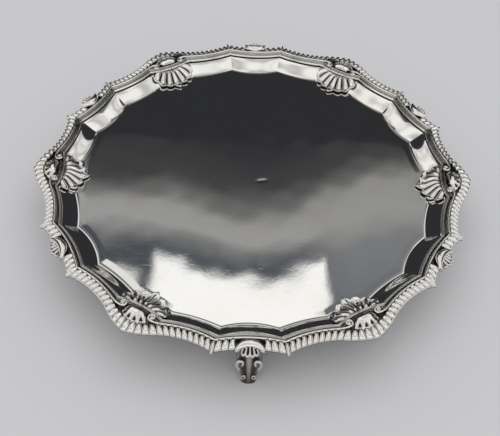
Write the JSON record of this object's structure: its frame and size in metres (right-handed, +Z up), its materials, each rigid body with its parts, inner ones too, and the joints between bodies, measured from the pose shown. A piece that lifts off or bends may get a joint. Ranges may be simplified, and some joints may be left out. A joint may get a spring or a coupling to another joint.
{
  "type": "salver",
  "caption": "Round footed silver salver with a flat plate, a reeded and gadrooned border with cast shells, and scroll feet.",
  "frame": {"origin": "on the floor under the centre of the plate, the bottom centre of the bounding box", "axes": "+Z up out of the plate; the front foot stands towards -Y; two opposite ears of the border lie on X"},
  "size_m": [0.305, 0.2962, 0.0462],
  "materials": {
    "tray_silver": "polished sterling silver sheet with fine wear scratches",
    "border_silver": "polished cast silver, darkened in the grooves",
    "shell_silver": "polished cast silver, darkened in the flutes",
    "foot_silver": "cast silver, slightly dulled, dark in the recesses"
  },
  "bodies": {
    "root": {"tray_plate": "tray_silver", "moulding_1": "border_silver", "moulding_2": "border_silver", "moulding_3": "border_silver", "moulding_4": "border_silver", "moulding_5": "border_silver", "moulding_6": "border_silver", "gadroon_edge_1": "border_silver", "gadroon_edge_2": "border_silver", "gadroon_edge_3": "border_silver", "gadroon_edge_4": "border_silver", "gadroon_edge_5": "border_silver", "gadroon_edge_6": "border_silver", "rim_shell_1": "shell_silver", "rim_shell_2": "shell_silver", "rim_shell_3": "shell_silver", "rim_shell_4": "shell_silver", "rim_shell_5": "shell_silver", "rim_shell_6": "shell_silver", "ear_shell_1": "shell_silver", "ear_shell_2": "shell_silver", "ear_shell_3": "shell_silver", "ear_shell_4": "shell_silver", "ear_shell_5": "shell_silver", "ear_shell_6": "shell_silver", "inner_shell_1": "shell_silver", "inner_shell_2": "shell_silver", "inner_shell_3": "shell_silver", "inner_shell_4": "shell_silver", "inner_shell_5": "shell_silver", "inner_shell_6": "shell_silver", "foot_1": "foot_silver", "foot_2": "foot_silver", "foot_3": "foot_silver"}
  },
  "joints": []
}
